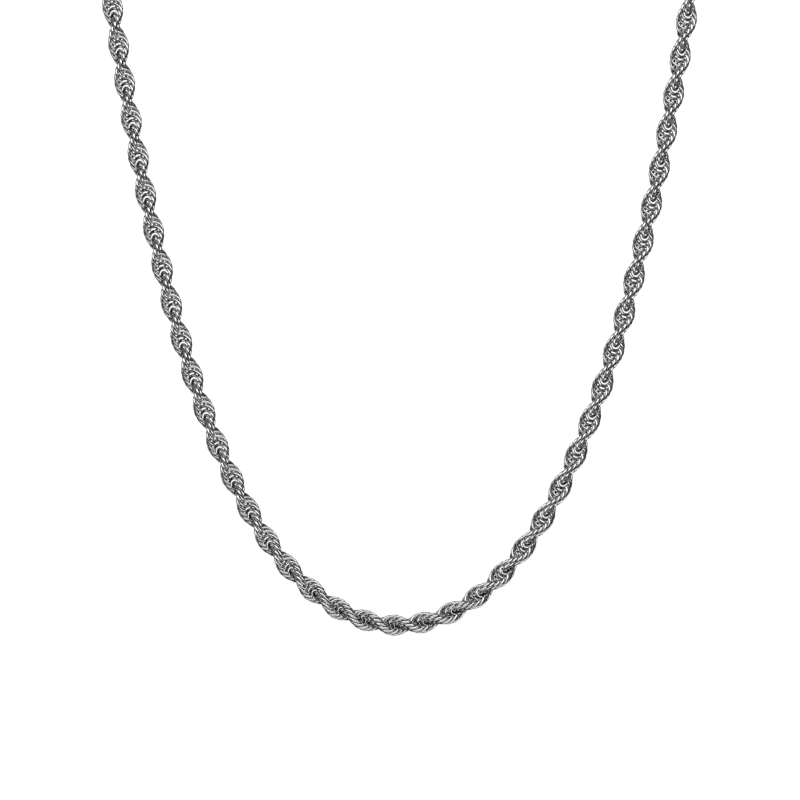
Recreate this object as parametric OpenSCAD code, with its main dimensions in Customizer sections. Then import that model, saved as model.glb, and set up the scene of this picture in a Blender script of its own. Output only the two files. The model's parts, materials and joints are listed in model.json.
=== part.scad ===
// Two-strand rope chain necklace with a lobster clasp, hanging round a neck form.
// The loop hangs in the XZ plane. The front curve is a catenary, and the back is an arc round the
// neck's axis, which is the Y axis. The origin is the middle of that arc.
//
// Every link is one open ring of round wire. Its plane holds the chain's own centre line, and each
// link is turned a step further round that line than the last. A link passes through the three links
// before it and the three after it, and the ends of the next ones lie in its gap. The turning makes
// the two strands: the chain is one link wide where the links face the eye, and half that where they
// stand edge on.

/* [Links] */
// Outside width of one link, which is the width of the chain
link_width = 4.2; // [3.8:0.05:4.2]
// Wire thickness of a link
link_wire = 0.6; // [0.5:0.02:0.62]
// Opening of a link, as an angle at its centre
link_gap = 38; // [34:1:42]
// Turn from one link to the next round the chain's centre line
link_turn = 22.5; // [22.5:0.5:26]
// Turn of the middle link away from facing the front
first_turn = 20; // [0:1:45]
// Distance from one link to the next where the chain hangs straight
link_pitch = 0.931; // [0.9:0.001:1.0]
// Share of that distance which the links lose at the front curve, where they carry least
front_bunch = 0.24; // [0:0.01:0.25]
// Number of links on each side of the middle over which the links close up
bunch_links = 40; // [30:1:60]

/* [Loop] */
// Radius of the front curve at its lowest point
front_radius = 22.1; // [20:0.1:26]
// How far the sides lean inwards where they meet the neck arc, in degrees
side_lean = 8.38; // [7:0.01:10]
// Height of the highest fold, from the neck's axis
first_fold_z = -24; // [-30:1:-20]
// Height from one fold to the next
fold_step = 21; // [18:1:22]
// Length of chain that bends at a fold
fold_length = 12; // [10:1:14]

/* [Clasp] */
// Wire thickness of the jump ring and the end ring
ring_wire = 0.8; // [0.7:0.05:0.9]
// Radius of the jump ring to the middle of its wire
jump_radius = 2.1; // [2:0.05:2.3]
// Radius of the end ring to the middle of its wire
end_radius = 2.2; // [2.1:0.05:2.4]
// Hole radius of the loops that the rings pass through
loop_hole = 1.15; // [1.1:0.01:1.3]
// Thickness of those loops
loop_thick = 1.0; // [0.8:0.1:1.2]
// Radius of the clasp's hook to the middle of its bar
hook_radius = 2.3; // [2.2:0.05:2.5]
// Radius of the hook's bar
hook_bar = 0.75; // [0.7:0.05:0.8]
// Distance from the clasp's eye to the middle of its hook
clasp_reach = 8.3; // [8:0.1:9]
// Length of the cup of an end cap
cup_length = 4.5; // [4:0.1:5]
// Wall thickness of the cup
cup_wall = 0.4; // [0.3:0.05:0.5]

/* [Hidden] */
$fn = 48;

steel = [0.78, 0.78, 0.77];
folds = 5;
link_radius = (link_width - link_wire) / 2;

// The loop. Places along it are lengths from the lowest point, positive to the right.
side_length = front_radius / tan(side_lean);
side_top_x = front_radius * ln(side_length / front_radius + norm([side_length / front_radius, 1]));
neck_radius = side_top_x / cos(side_lean);
side_top_z = -neck_radius * sin(side_lean);
front_z = side_top_z - (norm([front_radius, side_length]) - front_radius);
half_length = side_length + neck_radius * (90 + side_lean) * PI / 180;

function on_side(s) = abs(s) <= side_length;
// Angle round the neck's axis of a place on the neck arc
function neck_angle(s) = (abs(s) - side_length) / neck_radius * 180 / PI - side_lean;
function loop_x(s) = sign(s) * (on_side(s)
    ? front_radius * ln(abs(s) / front_radius + norm([s / front_radius, 1]))
    : neck_radius * cos(neck_angle(s)));
function loop_z(s) = on_side(s)
    ? front_z + norm([front_radius, s]) - front_radius
    : neck_radius * sin(neck_angle(s));
// Slope of the centre line, in degrees from level
function loop_slope(s) = sign(s) * (on_side(s) ? atan(abs(s) / front_radius) : 90 + neck_angle(s));
// Length along the loop at a height on its side
function length_at(z) = sqrt(pow(z - front_z + front_radius, 2) - pow(front_radius, 2));
// Place along the loop of a link, counted from the middle of the front
function link_place(i) = link_pitch * i * (1 - front_bunch / norm([1, i / bunch_links]));

// Clasp pieces, from the eye of the clasp along the line of the clasp
wire_seat = loop_hole - ring_wire / 2 - 0.1;
// The caps' loops lean with the neck arc, so a ring's wire stands further inside them
cap_seat = loop_hole - ring_wire / 2 - 0.3;
hook_seat = hook_radius - hook_bar - ring_wire / 2 - 0.1;
jump_x = -wire_seat - jump_radius;
left_loop_x = jump_x - jump_radius - cap_seat;
end_x = clasp_reach + hook_seat + end_radius;
right_loop_x = end_x + end_radius + cap_seat;
eye_x = -(left_loop_x + right_loop_x) / 2;

// End caps. Their cups open on the neck arc and point along it.
loop_rim = 0.7;
neck_gap = loop_hole + loop_rim - 0.1;
cap_length = neck_gap + cup_length;
cup_bore = link_width / 2 + 0.3;
mouth_angle = asin((right_loop_x + eye_x) / norm([neck_radius, cap_length])) + atan(cap_length / neck_radius);
clasp_z = neck_radius * cos(mouth_angle) + cap_length * sin(mouth_angle);
mouth_place = half_length - neck_radius * mouth_angle * PI / 180;
// Place of the last link's middle, just clear of the cup's floor
last_place = mouth_place + cup_length - cup_wall - link_width / 2 - 0.5;
link_bound = floor(last_place / link_pitch + bunch_links);

// Stretches of the loop, as [start, end] on the right side; the left side is their mirror
function fold_place(k) = length_at(first_fold_z - (k - 1) * fold_step);
function bend_span(k) = [fold_place(k) - fold_length / 2, fold_place(k) + fold_length / 2];
function side_span(k) = [bend_span(k + 1)[1], bend_span(k)[0]];
front_end = bend_span(folds)[0];
front_split = front_end / 3;
shoulder_span = [bend_span(1)[1], side_length + neck_radius * 30 * PI / 180];
back_span = [shoulder_span[1], last_place];

// One link, with its gap towards +X and its plane level
module link() {
    rotate([0, 0, link_gap / 2])
        rotate_extrude(angle = 360 - link_gap)
            translate([link_radius, 0]) circle(link_wire / 2);
}

// The links whose middles lie from one place on the loop to another
module links(from, to) {
    color(steel)
        for (i = [-link_bound:link_bound]) {
            s = link_place(i);
            if (s >= from && s < to)
                translate([loop_x(s), 0, loop_z(s)])
                    rotate([0, -loop_slope(s), 0])
                        rotate([90 + first_turn + link_turn * i, 0, 0])
                            link();
        }
}

module left_links(span) { links(-span[1], -span[0]); }
module right_links(span) { links(span[0], span[1]); }

// A flat loop round the Z axis, which a ring's wire passes through
module flat_loop() {
    difference() {
        cylinder(r = loop_hole + loop_rim, h = loop_thick, center = true);
        cylinder(r = loop_hole, h = loop_thick + 1, center = true);
    }
}

// An end cap with its loop at the origin and its cup open towards +X
module end_cap() {
    color(steel) {
        difference() {
            union() {
                translate([neck_gap, 0, 0]) rotate([0, 90, 0])
                    cylinder(r1 = cup_bore - 0.5, r2 = cup_bore + cup_wall, h = 0.9);
                translate([neck_gap + 0.9, 0, 0]) rotate([0, 90, 0])
                    cylinder(r = cup_bore + cup_wall, h = cup_length - 0.9);
            }
            translate([neck_gap + 0.9, 0, 0]) rotate([0, 90, 0])
                cylinder(r = cup_bore, h = cup_length);
        }
        flat_loop();
    }
}

// A ring of round wire standing in the XZ plane, with its seam at the top
module ring(radius) {
    color(steel)
        rotate([90, 0, 0]) rotate([0, 0, 91])
            rotate_extrude(angle = 358)
                translate([radius, 0]) circle(ring_wire / 2);
}

// Lever pivot, from the clasp's eye, and the lever's own sizes
pivot = [3.5, -0.45];
pin_radius = 0.3;
lever_thick = 0.8;
cheek_inner = lever_thick / 2 + 0.08;
cheek_outer = 1.05;
tip_angle = -92;
nose = [7.35, -hook_radius + 0.1];

module clasp_outline() {
    hull() {
        translate([2.3, 0]) circle(1.3);
        translate([4.4, 0.5]) circle(1.5);
    }
}

// The clasp body: an eye, two cheeks that hold the lever, a spine, and a hook of round bar
module clasp_body() {
    color(steel) translate([eye_x, 0, clasp_z])
        difference() {
            union() {
                flat_loop();
                linear_extrude(2 * cheek_outer, center = true) clasp_outline();
                translate([clasp_reach, 0, 0]) rotate([0, 0, tip_angle])
                    rotate_extrude(angle = 115 - tip_angle)
                        translate([hook_radius, 0]) circle(hook_bar);
                translate([clasp_reach, 0, 0]) rotate([0, 0, 115]) translate([hook_radius, 0, 0])
                    rotate([-90, 0, 0]) cylinder(r = hook_bar, h = 3.6);
                translate([clasp_reach, 0, 0]) rotate([0, 0, tip_angle])
                    translate([hook_radius, 0, 0]) sphere(hook_bar);
            }
            // Slot between the cheeks
            translate([2.3, -4, -cheek_inner]) cube([4.5, 4.9, 2 * cheek_inner]);
            translate([pivot[0], pivot[1], 0])
                cylinder(r = pin_radius + 0.01, h = 4, center = true);
            cylinder(r = loop_hole, h = 4, center = true);
        }
}

// The lever: an arm that closes the hook, and a thumb tab beside it
module clasp_lever() {
    color(steel) translate([eye_x, 0, clasp_z])
        linear_extrude(lever_thick, center = true)
            difference() {
                union() {
                    hull() {
                        translate(pivot) circle(0.75);
                        translate([5.2, -1.5]) circle(0.5);
                    }
                    hull() {
                        translate([5.2, -1.5]) circle(0.5);
                        translate(nose - [0.45, 0]) circle(0.45);
                    }
                    hull() {
                        translate([4.3, -1.5]) circle(0.6);
                        translate([4.1, -2.7]) circle(0.45);
                    }
                }
                translate(pivot) circle(pin_radius + 0.05);
            }
}

module lever_pin() {
    color(steel) translate([eye_x + pivot[0], pivot[1], clasp_z])
        cylinder(r = pin_radius, h = 2 * cheek_outer, center = true);
}

// The coil that pushes the lever shut, between the lever's arm and the slot's floor
module lever_spring() {
    color(steel) translate([eye_x + 4.75, -0.55, clasp_z]) rotate([-90, 0, 0])
        linear_extrude(height = 1.35, twist = -360 * 4, slices = 64)
            translate([0.28, 0]) circle(0.07, $fn = 8);
}

module end_cap_right() {
    translate([eye_x + right_loop_x, 0, clasp_z]) rotate([0, mouth_angle, 0]) end_cap();
}

module end_cap_left() {
    mirror([1, 0, 0]) end_cap_right();
}

module jump_ring() {
    translate([eye_x + jump_x, 0, clasp_z]) ring(jump_radius);
}

module end_ring() {
    translate([eye_x + end_x, 0, clasp_z]) ring(end_radius);
}

end_cap_left();
end_cap_right();
jump_ring();
end_ring();
clasp_body();
clasp_lever();
lever_pin();
lever_spring();
left_links(back_span);  // back_left
right_links(back_span);  // back_right
left_links(shoulder_span);  // shoulder_left
right_links(shoulder_span);  // shoulder_right
left_links(bend_span(1));  // bend_left_1
left_links(bend_span(2));  // bend_left_2
left_links(bend_span(3));  // bend_left_3
left_links(bend_span(4));  // bend_left_4
left_links(bend_span(5));  // bend_left_5
right_links(bend_span(1));  // bend_right_1
right_links(bend_span(2));  // bend_right_2
right_links(bend_span(3));  // bend_right_3
right_links(bend_span(4));  // bend_right_4
right_links(bend_span(5));  // bend_right_5
left_links(side_span(1));  // side_left_1
left_links(side_span(2));  // side_left_2
left_links(side_span(3));  // side_left_3
left_links(side_span(4));  // side_left_4
right_links(side_span(1));  // side_right_1
right_links(side_span(2));  // side_right_2
right_links(side_span(3));  // side_right_3
right_links(side_span(4));  // side_right_4
links(-front_end, -front_split);  // front_left
links(-front_split, front_split);  // front_middle
links(front_split, front_end);  // front_right
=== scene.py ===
# %% [markdown]
# # A rope chain necklace in polished steel
#
# A rope chain looks like two strands twisted together, but no strand exists. It is a single row of
# small open rings, each turned a step further round the chain's line than the last. This script
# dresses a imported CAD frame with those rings, with a lobster clasp, and with a bright steel finish.

# %% Load the frame
import json
import math

import bmesh
import bpy
from mathutils import Matrix, Vector


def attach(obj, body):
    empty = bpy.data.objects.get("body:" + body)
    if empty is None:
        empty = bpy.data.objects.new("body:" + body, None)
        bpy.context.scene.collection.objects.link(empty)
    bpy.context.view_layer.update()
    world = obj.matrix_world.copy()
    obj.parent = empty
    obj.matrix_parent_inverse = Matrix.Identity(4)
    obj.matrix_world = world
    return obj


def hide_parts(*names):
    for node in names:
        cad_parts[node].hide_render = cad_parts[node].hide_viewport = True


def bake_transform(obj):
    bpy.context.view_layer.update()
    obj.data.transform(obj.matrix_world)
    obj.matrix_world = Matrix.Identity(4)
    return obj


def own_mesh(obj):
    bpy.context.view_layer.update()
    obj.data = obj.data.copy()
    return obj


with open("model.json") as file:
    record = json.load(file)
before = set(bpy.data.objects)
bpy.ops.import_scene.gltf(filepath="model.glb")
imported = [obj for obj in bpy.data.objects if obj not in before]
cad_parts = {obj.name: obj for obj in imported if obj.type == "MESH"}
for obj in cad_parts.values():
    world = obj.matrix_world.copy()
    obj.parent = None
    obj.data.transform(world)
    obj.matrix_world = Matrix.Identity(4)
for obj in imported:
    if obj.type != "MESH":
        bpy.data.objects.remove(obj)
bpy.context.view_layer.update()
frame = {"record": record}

MM = 0.001

# %% [markdown]
# ## The chain's line
#
# A chain that hangs from two points takes the curve called a catenary, which one number fixes: the
# radius at its lowest point. Round the neck it follows an arc. The two meet where the sides lean in
# by a small angle, so three numbers give the whole loop. Places along it are lengths from the lowest
# point, positive to the right, as a jeweller measures a chain.

# %% The loop as a catenary and an arc
FRONT_RADIUS = 22.1 * MM
SIDE_LEAN = math.radians(8.38)

side_length = FRONT_RADIUS / math.tan(SIDE_LEAN)
neck_radius = FRONT_RADIUS * math.asinh(side_length / FRONT_RADIUS) / math.cos(SIDE_LEAN)
side_top = -neck_radius * math.sin(SIDE_LEAN)
front_bottom = side_top - (math.hypot(FRONT_RADIUS, side_length) - FRONT_RADIUS)


def on_loop(place):
    """Point of the chain's line and its slope there, at a length from the lowest point."""
    length = abs(place)
    side = math.copysign(1, place)
    if length <= side_length:
        x = FRONT_RADIUS * math.asinh(length / FRONT_RADIUS)
        z = front_bottom + math.hypot(FRONT_RADIUS, length) - FRONT_RADIUS
        slope = math.atan2(length, FRONT_RADIUS)
    else:
        around = (length - side_length) / neck_radius - SIDE_LEAN
        x, z = neck_radius * math.cos(around), neck_radius * math.sin(around)
        slope = math.pi / 2 + around
    return Vector((side * x, 0, z)), side * slope


def length_at(z):
    """Length from the lowest point to a height on the side."""
    return math.sqrt((z - front_bottom + FRONT_RADIUS) ** 2 - FRONT_RADIUS**2)


print(f"neck arc radius {neck_radius / MM:.1f} mm, lowest point {front_bottom / MM:.1f} mm")

# %% [markdown]
# ## The row of links
#
# Each link is 4.2 mm wide, of 0.6 mm wire, and its plane holds the chain's own line. Sixteen links
# make one full turn. Near the lowest point nothing pulls on the chain, so the links close up there
# by a quarter.

# %% Where each link goes
LINK_WIDTH = 4.2 * MM
LINK_WIRE = 0.6 * MM
LINK_GAP = math.radians(38)
LINK_TURN = math.radians(22.5)
FIRST_TURN = math.radians(20)
LINK_PITCH = 0.931 * MM
FRONT_BUNCH = 0.24
BUNCH_LINKS = 40
LAST_LINK = 262

link_radius = (LINK_WIDTH - LINK_WIRE) / 2


def link_place(number):
    """Length along the loop of a link's middle, counted from the middle of the front."""
    return LINK_PITCH * number * (1 - FRONT_BUNCH / math.hypot(1, number / BUNCH_LINKS))


def link_matrix(number):
    """Turns and moves a link from the origin, gap towards +X, to its place on the loop."""
    point, slope = on_loop(link_place(number))
    turn = Matrix.Rotation(math.pi / 2 + FIRST_TURN + LINK_TURN * number, 4, "X")
    return Matrix.Translation(point) @ Matrix.Rotation(-slope, 4, "Y") @ turn


FOLDS = [-24 * MM - 21 * MM * step for step in range(5)]
FOLD_LENGTH = 12 * MM
loop_end = link_place(LAST_LINK) + LINK_PITCH / 2
shoulder_end = side_length + neck_radius * math.radians(30)


def bend_span(fold):
    """Start and end, along the right side, of the run of links that bends at a fold."""
    middle = length_at(FOLDS[fold - 1])
    return middle - FOLD_LENGTH / 2, middle + FOLD_LENGTH / 2


print(2 * LAST_LINK + 1, "links along", round(2 * loop_end / MM), "mm")

# %% [markdown]
# ## The camera
#
# The camera looks straight at the front of the loop from a little over half a metre, through a
# long lens, so that the far and the near wires keep the same size. It leans a quarter of a degree, as
# a hand-set camera does. The neck arc and the clasp are above the frame.

# %% Camera
FRAME_WIDTH = 157.0 * MM
LENS = 120.0
SENSOR = 36.0
CAMERA_ROLL = math.radians(-0.24)

camera_data = bpy.data.cameras.new("camera")
camera_data.lens = LENS
camera_data.sensor_width = SENSOR
camera_data.clip_start = 0.01
camera_data.clip_end = 20
camera = bpy.data.objects.new("camera", camera_data)
bpy.context.scene.collection.objects.link(camera)
bpy.context.scene.camera = camera
camera_distance = FRAME_WIDTH * LENS / SENSOR
frame_middle = Vector((0.25 * MM, 0, front_bottom + 44.2 * MM))
camera.location = frame_middle + Vector((0, -camera_distance, 0))
camera.rotation_euler = (math.pi / 2, CAMERA_ROLL, 0)
print(f"camera {camera_distance:.2f} m from the chain")

# %% [markdown]
# ## Shader maths as expressions
#
# A finish is easier to read as arithmetic than as a list of nodes. `Reading` wraps an output
# socket, and its operators add the Math node that they stand for. `Finish` is a material whose
# `node` method adds any other node, with its settings first and its sockets after.

# %% The two shader helpers
class Reading:
    """A number that changes over a surface."""

    def __init__(self, tree, socket):
        self.tree, self.socket = tree, socket

    def maths(self, operation, first, second=None):
        node = self.tree.nodes.new("ShaderNodeMath")
        node.operation = operation
        for slot, value in zip(node.inputs, (first, second)):
            if isinstance(value, Reading):
                self.tree.links.new(value.socket, slot)
            elif value is not None:
                slot.default_value = value
        return Reading(self.tree, node.outputs[0])

    def __add__(self, other):
        return self.maths("ADD", self, other)

    def __sub__(self, other):
        return self.maths("SUBTRACT", self, other)

    def __rsub__(self, other):
        return self.maths("SUBTRACT", other, self)

    def __mul__(self, other):
        return self.maths("MULTIPLY", self, other)

    def __truediv__(self, other):
        return self.maths("DIVIDE", self, other)

    def __abs__(self):
        return self.maths("ABSOLUTE", self)

    __radd__ = __add__
    __rmul__ = __mul__

    def limited(self):
        """The reading kept between 0 and 1."""
        node = self.maths("ADD", self, 0.0)
        node.socket.node.use_clamp = True
        return node


class Finish:
    """A node tree that nodes are added to by name."""

    def __init__(self, tree):
        self.tree = tree

    def node(self, kind, settings=None, output=0, **sockets):
        made = self.tree.nodes.new("ShaderNode" + kind)
        for name, value in (settings or {}).items():
            setattr(made, name, value)
        for name, value in sockets.items():
            slot = made.inputs[name.replace("_", " ")]
            if isinstance(value, Reading):
                self.tree.links.new(value.socket, slot)
            else:
                slot.default_value = value
        return Reading(self.tree, made.outputs[output])


def new_finish(name):
    """A material of that name, with its Principled shader, and the Finish that wires it."""
    material = bpy.data.materials.new(name)
    material.use_nodes = True
    return material, Finish(material.node_tree), material.node_tree.nodes["Principled BSDF"]


print("shader helpers ready")

# %% [markdown]
# ## Floor, air and light
#
# Polished metal has no colour of its own to show: it shows the room. A jeweller's photographer puts
# the piece on white, but keeps the room behind the camera dark, with a few big soft boxes in it. The
# boxes draw a white line along every wire and the dark between them draws its edges. So the air is
# white for the floor and the picture's ground, and dark for anything that the metal reflects.

# %% White floor
FLOOR_DROP = 60 * MM
FLOOR_PALE = 0.90

floor_mesh = bpy.data.meshes.new("floor")
bm = bmesh.new()
bmesh.ops.create_circle(bm, cap_ends=True, segments=64, radius=6)
bmesh.ops.translate(bm, verts=bm.verts, vec=(0, 0, front_bottom - FLOOR_DROP))
bm.to_mesh(floor_mesh)
bm.free()
floor = bpy.data.objects.new("floor", floor_mesh)
bpy.context.scene.collection.objects.link(floor)
floor_paint, _, floor_shader = new_finish("floor_paint")
floor_shader.inputs["Base Color"].default_value = (FLOOR_PALE, FLOOR_PALE, FLOOR_PALE, 1)
floor_shader.inputs["Roughness"].default_value = 1.0
floor_shader.inputs["Specular IOR Level"].default_value = 0.0
floor_mesh.materials.append(floor_paint)
floor.visible_glossy = False
print(f"floor {FLOOR_DROP / MM:.0f} mm under the chain")

# %% Air
ROOM_DARK = 0.065

world = bpy.data.worlds.new("studio_air")
bpy.context.scene.world = world
world.use_nodes = True
air = Finish(world.node_tree)
background = world.node_tree.nodes["Background"]
paths = air.node("LightPath").socket.node
reflected = Reading(world.node_tree, paths.outputs["Is Glossy Ray"])
strength = reflected * ROOM_DARK + (1.0 - reflected) / FLOOR_PALE
world.node_tree.links.new(strength.socket, background.inputs["Strength"])
background.inputs["Color"].default_value = (1, 1, 1, 1)
bpy.context.scene.view_settings.view_transform = "Standard"
print("air set")

# %% Soft boxes
BOX_DISTANCE = 0.8


def soft_box(name, around, up, width, height, glow):
    """An area light. Angles in degrees: right of the camera, up, and its size seen from the chain."""
    around, up = math.radians(around), math.radians(up)
    towards = Vector((
        math.sin(around) * math.cos(up), -math.cos(around) * math.cos(up), math.sin(up)
    ))
    light = bpy.data.lights.new(name, "AREA")
    light.shape = "RECTANGLE"
    light.size = 2 * BOX_DISTANCE * math.tan(math.radians(width) / 2)
    light.size_y = 2 * BOX_DISTANCE * math.tan(math.radians(height) / 2)
    light.energy = glow * math.pi * light.size * light.size_y
    box = bpy.data.objects.new(name, light)
    bpy.context.scene.collection.objects.link(box)
    box.location = frame_middle + towards * BOX_DISTANCE
    box.rotation_euler = (-towards).to_track_quat("-Z", "Y").to_euler()
    box.visible_camera = False
    box.visible_diffuse = False


soft_box("high_box", 10, 35, 80, 36, 2.6)
soft_box("low_box", 20, -50, 80, 30, 2.0)
soft_box("left_box", -78, 0, 10, 70, 1.8)
soft_box("back_box", 200, 20, 60, 50, 1.3)
print("four soft boxes")

# %% [markdown]
# ## Bright steel wire
#
# The wire is drawn through a die, bent, and tumbled bright. What is left to see is a mirror that is
# not quite even: fine lines along the wire, a little waviness where it was bent, and a duller side
# inside the link that the tumbling does not reach. That side also gets a painted shade, a much
# darker base colour, for the shade where the links nest in each other. The lines follow the wire, so
# they read the wire's own UV map: U runs along it and V round it, with V = 0.5 on the outside of the
# link.

# %% Finish for the links
def wire_steel(name, colour, dull, lines):
    """Bright drawn wire on the UV map `wire`."""
    material, finish, shader = new_finish(name)
    tree = material.node_tree
    place = finish.node("UVMap", {"uv_map": "wire"})
    stretched = finish.node("Mapping", Vector=place, Scale=(3, 60, 1))
    drawn = finish.node("TexNoise", Vector=stretched, Scale=1.0, Detail=3.0, Roughness=0.6)
    spot = finish.node("TexCoord", output=3)
    cloud = finish.node("TexNoise", Vector=spot, Scale=900.0, Detail=2.0)
    sides = finish.node("SeparateXYZ", Vector=place)
    around = Reading(tree, sides.socket.node.outputs[1])
    # The inside of the link, away from V = 0.5: rougher there, and the mask of the painted shade.
    inner_dull_and_shade = (abs(around - 0.5) * 2.6 - 0.55).limited()
    rough = 0.12 + cloud * 0.05 + drawn * 0.03 + inner_dull_and_shade * dull
    tree.links.new(rough.socket, shader.inputs["Roughness"])
    # Painted shade: the base colour drops towards a quarter of the steel's on the inside of each link,
    # with a random tone from the cloud on top.
    tone = finish.node(
        "Mix", {"data_type": "RGBA"}, output=2,
        Factor=(inner_dull_and_shade * 0.9 + (cloud - 0.5) * 0.3).limited(),
    )
    mix = tone.socket.node
    mix.inputs[6].default_value = (*colour, 1)
    # The painted shade colour, a quarter of the steel's.
    mix.inputs[7].default_value = (*[part * 0.25 for part in colour], 1)
    tree.links.new(tone.socket, shader.inputs["Base Color"])
    wave = finish.node("TexNoise", Vector=spot, Scale=420.0, Detail=1.0)
    height = drawn * lines + wave * 1.0
    bump = finish.node("Bump", Height=height, Strength=0.1, Distance=0.00002)
    tree.links.new(bump.socket, shader.inputs["Normal"])
    shader.inputs["Metallic"].default_value = 1.0
    return material


link_steel = wire_steel("link_steel", (0.64, 0.64, 0.635), 0.12, 0.25)
print("link finish made")

# %% [markdown]
# ## One link
#
# A link is a length of round wire bent into an open ring. Spinning a circle round an axis makes it
# in one step. The circle has six corners and the ring twelve steps, because it is repeated hundreds of
# times, and one level of subdivision rounds it. That rounding pulls the surface in a little, so the
# corners start further out by the same share. Opposite its gap the wire swells by a quarter, which
# partly closes the eye of every twist. More than three tenths and the links would cut into each
# other at the front, where they are closest.

# %% The link's mesh
WIRE_CORNERS = 6
LINK_STEPS = 12
CROWN_SWELL = 0.25
SWELL_SPREAD = math.radians(32)


def drawn_in(step_angle):
    """Share of its radius that a polygon keeps after one subdivision."""
    return (6 + 2 * math.cos(step_angle)) / 8


def wire_uv(bm, ring_radius):
    """Writes the UV map of a ring about Z: U along the wire, V round it with 0.5 outside."""
    layer = bm.loops.layers.uv.new("wire")
    for face in bm.faces:
        middle = face.calc_center_median()
        face_along = math.atan2(middle.y, middle.x)
        face_around = math.atan2(middle.z, math.hypot(middle.x, middle.y) - ring_radius)
        for corner in face.loops:
            spot = corner.vert.co
            along = math.atan2(spot.y, spot.x) - face_along
            around = math.atan2(spot.z, math.hypot(spot.x, spot.y) - ring_radius) - face_around
            along = face_along + math.remainder(along, math.tau)
            around = face_around + math.remainder(around, math.tau)
            corner[layer].uv = (along / math.tau + 0.5, around / math.tau + 0.5)


def open_ring(radius, wire, gap, corners, steps, swell=0.0):
    """A ring of round wire about Z with its gap towards +X, for one level of subdivision.

    The wire is thicker by the share `swell` opposite the gap.
    """
    bm = bmesh.new()
    arc = math.tau - gap
    ring = radius / drawn_in(arc / steps)
    made = bmesh.ops.create_circle(
        bm, cap_ends=True, segments=corners, radius=wire / 2 / drawn_in(math.tau / corners)
    )
    stand = Matrix.Translation((ring, 0, 0)) @ Matrix.Rotation(math.pi / 2, 4, "X")
    bmesh.ops.transform(bm, matrix=Matrix.Rotation(gap / 2, 4, "Z") @ stand, verts=made["verts"])
    bmesh.ops.spin(
        bm, geom=list(bm.faces), cent=(0, 0, 0), axis=(0, 0, 1), angle=arc, steps=steps,
        use_merge=False, use_duplicate=False,
    )
    for corner in bm.verts:
        spoke = Vector((corner.co.x, corner.co.y, 0)).normalized()
        core = spoke * ring
        off_crown = math.acos(max(-1, min(1, -spoke.x))) / SWELL_SPREAD
        corner.co = core + (corner.co - core) * (1 + swell * math.exp(-(off_crown**2)))
    bmesh.ops.recalc_face_normals(bm, faces=bm.faces)
    wire_uv(bm, ring)
    return bm


link_mesh = bpy.data.meshes.new("link")
link_bm = open_ring(link_radius, LINK_WIRE, LINK_GAP, WIRE_CORNERS, LINK_STEPS, CROWN_SWELL)
link_bm.to_mesh(link_mesh)
link_bm.free()
print("a link has", len(link_mesh.polygons), "faces")

# %% [markdown]
# ## The runs of links
#
# The CAD frame groups the links by where they are: behind the neck, on the shoulders, on the sides,
# at the five folds and at the front. Each run becomes one piece with a copy of the link at every
# place. A run at a fold is left fixed where it is built, and the other runs ride on their body.

# %% Build every run
def finish_piece(name, bm, material, levels=0):
    """Turns a bmesh into a smooth piece with its material and its subdivision."""
    mesh = bpy.data.meshes.new(name)
    bm.to_mesh(mesh)
    bm.free()
    mesh.shade_smooth()
    mesh.materials.append(material)
    piece = bpy.data.objects.new(name, mesh)
    bpy.context.scene.collection.objects.link(piece)
    if levels:
        rounding = piece.modifiers.new("rounding", "SUBSURF")
        rounding.levels = rounding.render_levels = levels
    return piece


def make_run(name, start, end):
    """The links whose middles lie between two places on the loop."""
    bm = bmesh.new()
    count = 0
    for number in range(-LAST_LINK, LAST_LINK + 1):
        if start <= link_place(number) < end:
            before = len(bm.verts)
            bm.from_mesh(link_mesh)
            bm.verts.ensure_lookup_table()
            bmesh.ops.transform(bm, matrix=link_matrix(number), verts=bm.verts[before:])
            count += 1
    return finish_piece(name, bm, link_steel, 1), count


def body_of(node):
    """Name of the body that holds a CAD node."""
    bodies = frame["record"]["behaviour"]["bodies"]
    return next(body for body, nodes in bodies.items() if node in nodes)


def slot_of(node):
    """Name of the material slot that the record gives a CAD node."""
    return next(part["material_slot"] for part in frame["record"]["subparts"] if part["node"] == node)


front_end = bend_span(5)[0]
runs = {"back": (shoulder_end, loop_end), "shoulder": (bend_span(1)[1], shoulder_end)}
runs.update({f"bend_{fold}": bend_span(fold) for fold in range(1, 6)})
runs.update({f"side_{fold}": (bend_span(fold + 1)[1], bend_span(fold)[0]) for fold in range(1, 5)})
runs["front"] = (front_end / 3, front_end)

placed = {}
for run, (start, end) in runs.items():
    for side in ("left", "right"):
        node = f"{run.split('_')[0]}_{side}" + (f"_{run[-1]}" if "_" in run else "")
        low, high = (start, end) if side == "right" else (-end, -start)
        placed[node] = (low, high)
placed["front_middle"] = (-front_end / 3, front_end / 3)

total = 0
for node, (low, high) in placed.items():
    piece, count = make_run(f"{node}_links", low, high)
    total += count
    slot_of(node)
    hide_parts(node)
    body = body_of(node)
    if node.startswith("bend"):
        above = "neck_part" if body == "hang_1" else f"hang_{int(node[-1]) - 1}"
        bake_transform(piece)
    else:
        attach(piece, body)
print(total, "links in", len(placed), "runs")

# %% [markdown]
# ## The clasp's steel
#
# The clasp, rings and caps are cast or turned and then polished on a wheel. Their finish is as bright
# as the wire's, with a slow waviness and faint random scratches in place of the drawn lines.

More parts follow.
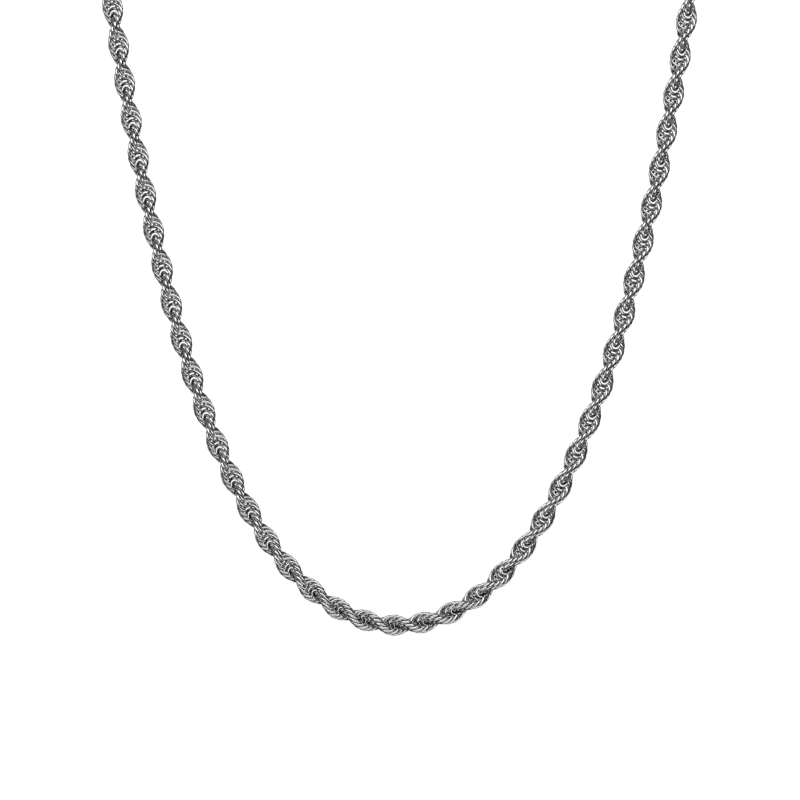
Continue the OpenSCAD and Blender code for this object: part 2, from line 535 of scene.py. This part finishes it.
# %% Finish for the clasp, rings and caps
def polished_steel(name, colour, dullest):
    """Wheel-polished steel, read in the object's own space."""
    material, finish, shader = new_finish(name)
    tree = material.node_tree
    spot = finish.node("TexCoord", output=3)
    cloud = finish.node("TexNoise", Vector=spot, Scale=500.0, Detail=4.0)
    wave = finish.node("TexNoise", Vector=spot, Scale=160.0, Detail=1.0)
    slanted = finish.node("Mapping", Vector=spot, Rotation=(0.5, 0.9, 0.3), Scale=(300, 9000, 300))
    scratch = finish.node("TexNoise", Vector=slanted, Scale=1.0, Detail=2.0)
    rough = 0.14 + cloud * dullest + scratch * 0.03
    tree.links.new(rough.socket, shader.inputs["Roughness"])
    tone = finish.node("Mix", {"data_type": "RGBA"}, output=2, Factor=cloud.limited())
    mix = tone.socket.node
    mix.inputs[6].default_value = (*colour, 1)
    mix.inputs[7].default_value = (*[part * 0.9 for part in colour], 1)
    tree.links.new(tone.socket, shader.inputs["Base Color"])
    bump = finish.node("Bump", Height=wave + scratch * 0.1, Strength=0.3, Distance=0.00005)
    tree.links.new(bump.socket, shader.inputs["Normal"])
    shader.inputs["Metallic"].default_value = 1.0
    return material


clasp_steel = polished_steel("clasp_steel", (0.76, 0.76, 0.755), 0.08)
spring_steel = polished_steel("spring_steel", (0.50, 0.50, 0.50), 0.30)
print("two more finishes made")

# %% [markdown]
# ## Shapes that the clasp is made of
#
# Four shapes are enough: a ring of wire, a turned piece, a plate with rounded edges, and a bent bar.
# Sizes here are in millimetres from the clasp's eye, with X along the clasp, and a piece is moved to
# its place when it is done.

# %% Plates, turned pieces and bars
CLASP_EYE = Vector((-4.45, 0, 57.9055))
to_clasp = Matrix.Scale(MM, 4) @ Matrix.Translation(CLASP_EYE)


def outline(first, first_radius, second, second_radius, steps=9):
    """Points round two circles and the lines that touch both, anticlockwise."""
    first, second = Vector(first), Vector(second)
    gap = second - first
    towards = math.atan2(gap.y, gap.x)
    swing = math.acos((first_radius - second_radius) / gap.length)
    points = []
    for middle, radius, start, arc in (
        (first, first_radius, towards + swing, math.tau - 2 * swing),
        (second, second_radius, towards - swing, 2 * swing),
    ):
        for step in range(steps + 1):
            turn = start + arc * step / steps
            points.append(middle + radius * Vector((math.cos(turn), math.sin(turn))))
    return points


def circle(middle, radius, steps=24):
    """Points round one circle, clockwise, for a hole."""
    turns = [-math.tau * step / steps for step in range(steps)]
    return [Vector(middle) + radius * Vector((math.cos(turn), math.sin(turn))) for turn in turns]


def add_plate(bm, loops, low, high, edge):
    """A plate between two heights, inside the first loop and outside the others."""
    edges = []
    for points in loops:
        corners = [bm.verts.new((point.x, point.y, low)) for point in points]
        edges += [bm.edges.new((a, b)) for a, b in zip(corners, corners[1:] + corners[:1])]
    face = bmesh.ops.triangle_fill(bm, edges=edges, use_beauty=True)
    flat = [part for part in face["geom"] if isinstance(part, bmesh.types.BMFace)]
    raised = bmesh.ops.extrude_face_region(bm, geom=flat, use_keep_orig=True)["geom"]
    top = [part for part in raised if isinstance(part, bmesh.types.BMVert)]
    bmesh.ops.translate(bm, verts=top, vec=(0, 0, high - low))
    around = {part for corner in top for part in corner.link_faces} | set(flat)
    bmesh.ops.recalc_face_normals(bm, faces=list(around))
    sharp = {
        line for part in around for line in part.edges
        if len(line.link_faces) == 2 and line.calc_face_angle() > 1.0
    }
    bmesh.ops.bevel(
        bm, geom=list(sharp), offset=edge, segments=3, affect="EDGES", profile=0.5, material=-1,
        clamp_overlap=True,
    )


def add_turned(bm, profile, axis, steps=48):
    """Spins a closed or open profile of points once round an axis through the origin."""
    corners = [bm.verts.new(point) for point in profile]
    edges = [bm.edges.new(pair) for pair in zip(corners, corners[1:])]
    bmesh.ops.spin(
        bm, geom=corners + edges, cent=(0, 0, 0), axis=axis, angle=math.tau, steps=steps,
        use_merge=True, use_duplicate=False,
    )


def add_eye(bm, hole, rim, thick, edge=0.2):
    """A flat loop about Z, with its inner and outer edges rounded."""
    half, outer = thick / 2, hole + rim
    low, high = -half + edge, half - edge
    profile = [
        (hole, 0, low), (hole + edge * 0.3, 0, -half + edge * 0.3), (hole + edge, 0, -half),
        (outer - edge, 0, -half), (outer - edge * 0.3, 0, -half + edge * 0.3), (outer, 0, low),
        (outer, 0, high), (outer - edge * 0.3, 0, half - edge * 0.3), (outer - edge, 0, half),
        (hole + edge, 0, half), (hole + edge * 0.3, 0, half - edge * 0.3), (hole, 0, high),
    ]
    add_turned(bm, profile + profile[:1], (0, 0, 1))


def place_piece(name, bm, material, node, matrix, levels=0):
    """Welds and moves one piece of the clasp assembly, hides its CAD node, and puts it on its body."""
    bmesh.ops.remove_doubles(bm, verts=bm.verts, dist=1e-4)
    bmesh.ops.recalc_face_normals(bm, faces=bm.faces)
    bmesh.ops.transform(bm, matrix=matrix, verts=bm.verts)
    piece = finish_piece(name, bm, material, levels)
    slot_of(node)
    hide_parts(node)
    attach(piece, body_of(node))
    print(name, "has", len(piece.data.polygons), "faces")
    return piece


# %% [markdown]
# ## Split rings
#
# The jump ring joins the clasp to the left cap, and the end ring on the right cap takes the hook.
# Each is the same open ring as a link, but bigger and nearly shut, with its seam at the top.

# %% Jump ring and end ring
RING_WIRE = 0.8
SEAM = math.radians(2)

upright = Matrix.Rotation(math.pi / 2, 4, "X") @ Matrix.Rotation(math.pi / 2, 4, "Z")
for name, node, radius, middle in (
    ("split_jump_ring", "jump_ring", 2.1, -2.75),
    ("split_end_ring", "end_ring", 2.2, 11.55),
):
    ring_bm = open_ring(radius, RING_WIRE, SEAM, 12, 36)
    stand = to_clasp @ Matrix.Translation((middle, 0, 0)) @ upright
    place_piece(name, ring_bm, clasp_steel, node, stand, levels=1)

# %% [markdown]
# ## End caps
#
# A cap is a small turned cup with a rolled lip and a groove, and a loop at its closed end. The last
# links are glued inside it. Each cap points along the neck arc.

# %% Cups with loops
CAP_LOOP_X = 9.75
CUP_START, CUP_END = 1.75, 6.25
CUP_BORE, CUP_OUTSIDE = 2.4, 2.8
MOUTH_LEAN = math.radians(15.6676)

for side in (1, -1):
    cap_bm = bmesh.new()
    profile = [
        (CUP_START, 0), (CUP_START, 1.6), (1.85, 1.85), (2.3, 2.35), (2.62, 2.66), (2.85, 2.78),
        (3.1, CUP_OUTSIDE), (3.4, CUP_OUTSIDE), (3.5, 2.68), (3.7, 2.68), (3.8, CUP_OUTSIDE),
        (5.7, CUP_OUTSIDE - 0.06), (5.85, CUP_OUTSIDE), (6.05, CUP_OUTSIDE), (6.2, 2.73),
        (CUP_END, 2.6), (6.2, 2.46), (6.05, CUP_BORE), (2.95, CUP_BORE), (2.75, 2.3), (2.7, 2.1),
        (2.7, 0),
    ]
    add_turned(cap_bm, [(along, 0, out) for along, out in profile], (1, 0, 0))
    add_eye(cap_bm, 1.15, 0.7, 1.0)
    lean = Matrix.Rotation(MOUTH_LEAN, 4, "Y")
    stand = Matrix.Translation((CAP_LOOP_X * MM, 0, CLASP_EYE.z * MM)) @ lean @ Matrix.Scale(MM, 4)
    if side < 0:
        stand = Matrix.Scale(-1, 4, (1, 0, 0)) @ stand
    name = "right" if side > 0 else "left"
    place_piece(f"cap_with_loop_{name}", cap_bm, clasp_steel, f"end_cap_{name}", stand)

# %% [markdown]
# ## Lobster clasp
#
# The body is an eye, two cheeks with the lever between them, and a hook of round bar that runs back
# into a spine. The lever turns on a pin, has a tab for the thumb, and closes the hook's mouth.

# %% Clasp body
HOOK_MIDDLE, HOOK_RADIUS, HOOK_BAR = Vector((8.3, 0, 0)), 2.3, 0.75
TIP_TURN, SPINE_TURN = math.radians(-92), math.radians(115)
PIVOT = (3.5, -0.45)
CHEEK_INSIDE, CHEEK_OUTSIDE = 0.48, 1.05


def add_hook(bm):
    """Round bar: a rounded tip, the hook's arc, and the spine that runs back to the cheeks."""
    made = bmesh.ops.create_circle(bm, cap_ends=True, segments=16, radius=HOOK_BAR)
    stand = (
        Matrix.Translation(HOOK_MIDDLE) @ Matrix.Rotation(TIP_TURN, 4, "Z")
        @ Matrix.Translation((HOOK_RADIUS, 0, 0)) @ Matrix.Rotation(math.pi / 2, 4, "X")
    )
    bmesh.ops.transform(bm, matrix=stand, verts=made["verts"])
    tip = made["verts"][0].link_faces[0]
    middle, back = tip.calc_center_median(), stand.to_3x3() @ Vector((0, 0, 1))
    arc = bmesh.ops.spin(
        bm, geom=[tip], cent=HOOK_MIDDLE, axis=(0, 0, 1), angle=SPINE_TURN - TIP_TURN, steps=30,
        use_merge=False, use_duplicate=False,
    )
    end = next(part for part in arc["geom_last"] if isinstance(part, bmesh.types.BMFace))
    spine = bmesh.ops.extrude_face_region(bm, geom=[end])["geom"]
    run = Vector((-math.sin(SPINE_TURN), math.cos(SPINE_TURN), 0)) * 2.2
    bmesh.ops.translate(bm, verts=[v for v in spine if isinstance(v, bmesh.types.BMVert)], vec=run)
    bm.faces.ensure_lookup_table()
    face = min(bm.faces, key=lambda part: (part.calc_center_median() - middle).length)
    for step in (1, 2, 3):
        turn = math.radians(25 * step)
        cap = bmesh.ops.extrude_discrete_faces(bm, faces=[face])["faces"][0]
        bm.faces.ensure_lookup_table()
        face = cap
        for corner in cap.verts:
            spoke = (corner.co - cap.calc_center_median()).normalized()
            corner.co = middle + back * HOOK_BAR * math.sin(turn) + spoke * HOOK_BAR * math.cos(turn)


body_bm = bmesh.new()
add_eye(body_bm, 1.15, 0.7, 1.0)
for low, high in ((CHEEK_INSIDE, CHEEK_OUTSIDE), (-CHEEK_OUTSIDE, -CHEEK_INSIDE)):
    cheek = outline((2.46, 0), 1.3, (4.4, 0.5), 1.5)
    add_plate(body_bm, [cheek, circle(PIVOT, 0.31)], low, high, 0.12)
add_plate(body_bm, [outline((3.3, 1.18), 0.22, (4.7, 1.6), 0.36)], -1.0, 1.0, 0.05)
add_plate(body_bm, [outline((1.72, -0.2), 0.5, (1.72, 0.2), 0.5)], -1.0, 1.0, 0.05)
add_hook(body_bm)
place_piece("lobster_body", body_bm, clasp_steel, "clasp_body", to_clasp)

# %% Lever, pin and spring
lever_bm = bmesh.new()
LEVER_HALF = 0.4
add_plate(
    lever_bm, [outline(PIVOT, 0.75, (5.2, -1.5), 0.5), circle(PIVOT, 0.35)],
    -LEVER_HALF, LEVER_HALF, 0.1,
)
nose_half, tab_half = LEVER_HALF - 0.03, LEVER_HALF - 0.06
add_plate(lever_bm, [outline((5.2, -1.5), 0.47, (6.9, -2.2), 0.45)], -nose_half, nose_half, 0.1)
add_plate(lever_bm, [outline((4.3, -1.5), 0.6, (4.1, -2.7), 0.45)], -tab_half, tab_half, 0.1)
place_piece("thumb_lever", lever_bm, clasp_steel, "clasp_lever", to_clasp)

pin_bm = bmesh.new()
add_plate(pin_bm, [circle(PIVOT, 0.3)], -CHEEK_OUTSIDE, CHEEK_OUTSIDE, 0.06)
place_piece("pivot_pin", pin_bm, clasp_steel, "lever_pin", to_clasp)

# %% [markdown]
# The spring is a circle of wire spun round with a small step along the axis at each turn.

# %% Coil spring
COIL_TURNS, COIL_LENGTH, COIL_RADIUS, COIL_WIRE = 4, 1.2, 0.28, 0.07
coil_bm = bmesh.new()
made = bmesh.ops.create_circle(coil_bm, cap_ends=True, segments=8, radius=COIL_WIRE)
bmesh.ops.translate(coil_bm, verts=made["verts"], vec=(COIL_RADIUS, 0, 0))
coil_steps = 24 * COIL_TURNS
bmesh.ops.spin(
    coil_bm, geom=list(coil_bm.faces), cent=(0, 0, 0), axis=(0, 1, 0), angle=math.tau * COIL_TURNS,
    steps=coil_steps, dvec=(0, COIL_LENGTH / coil_steps, 0), use_merge=False, use_duplicate=False,
)
stand = to_clasp @ Matrix.Translation((4.75, -0.47, 0))
coil = place_piece("lever_coil", coil_bm, spring_steel, "lever_spring", stand)
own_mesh(coil)
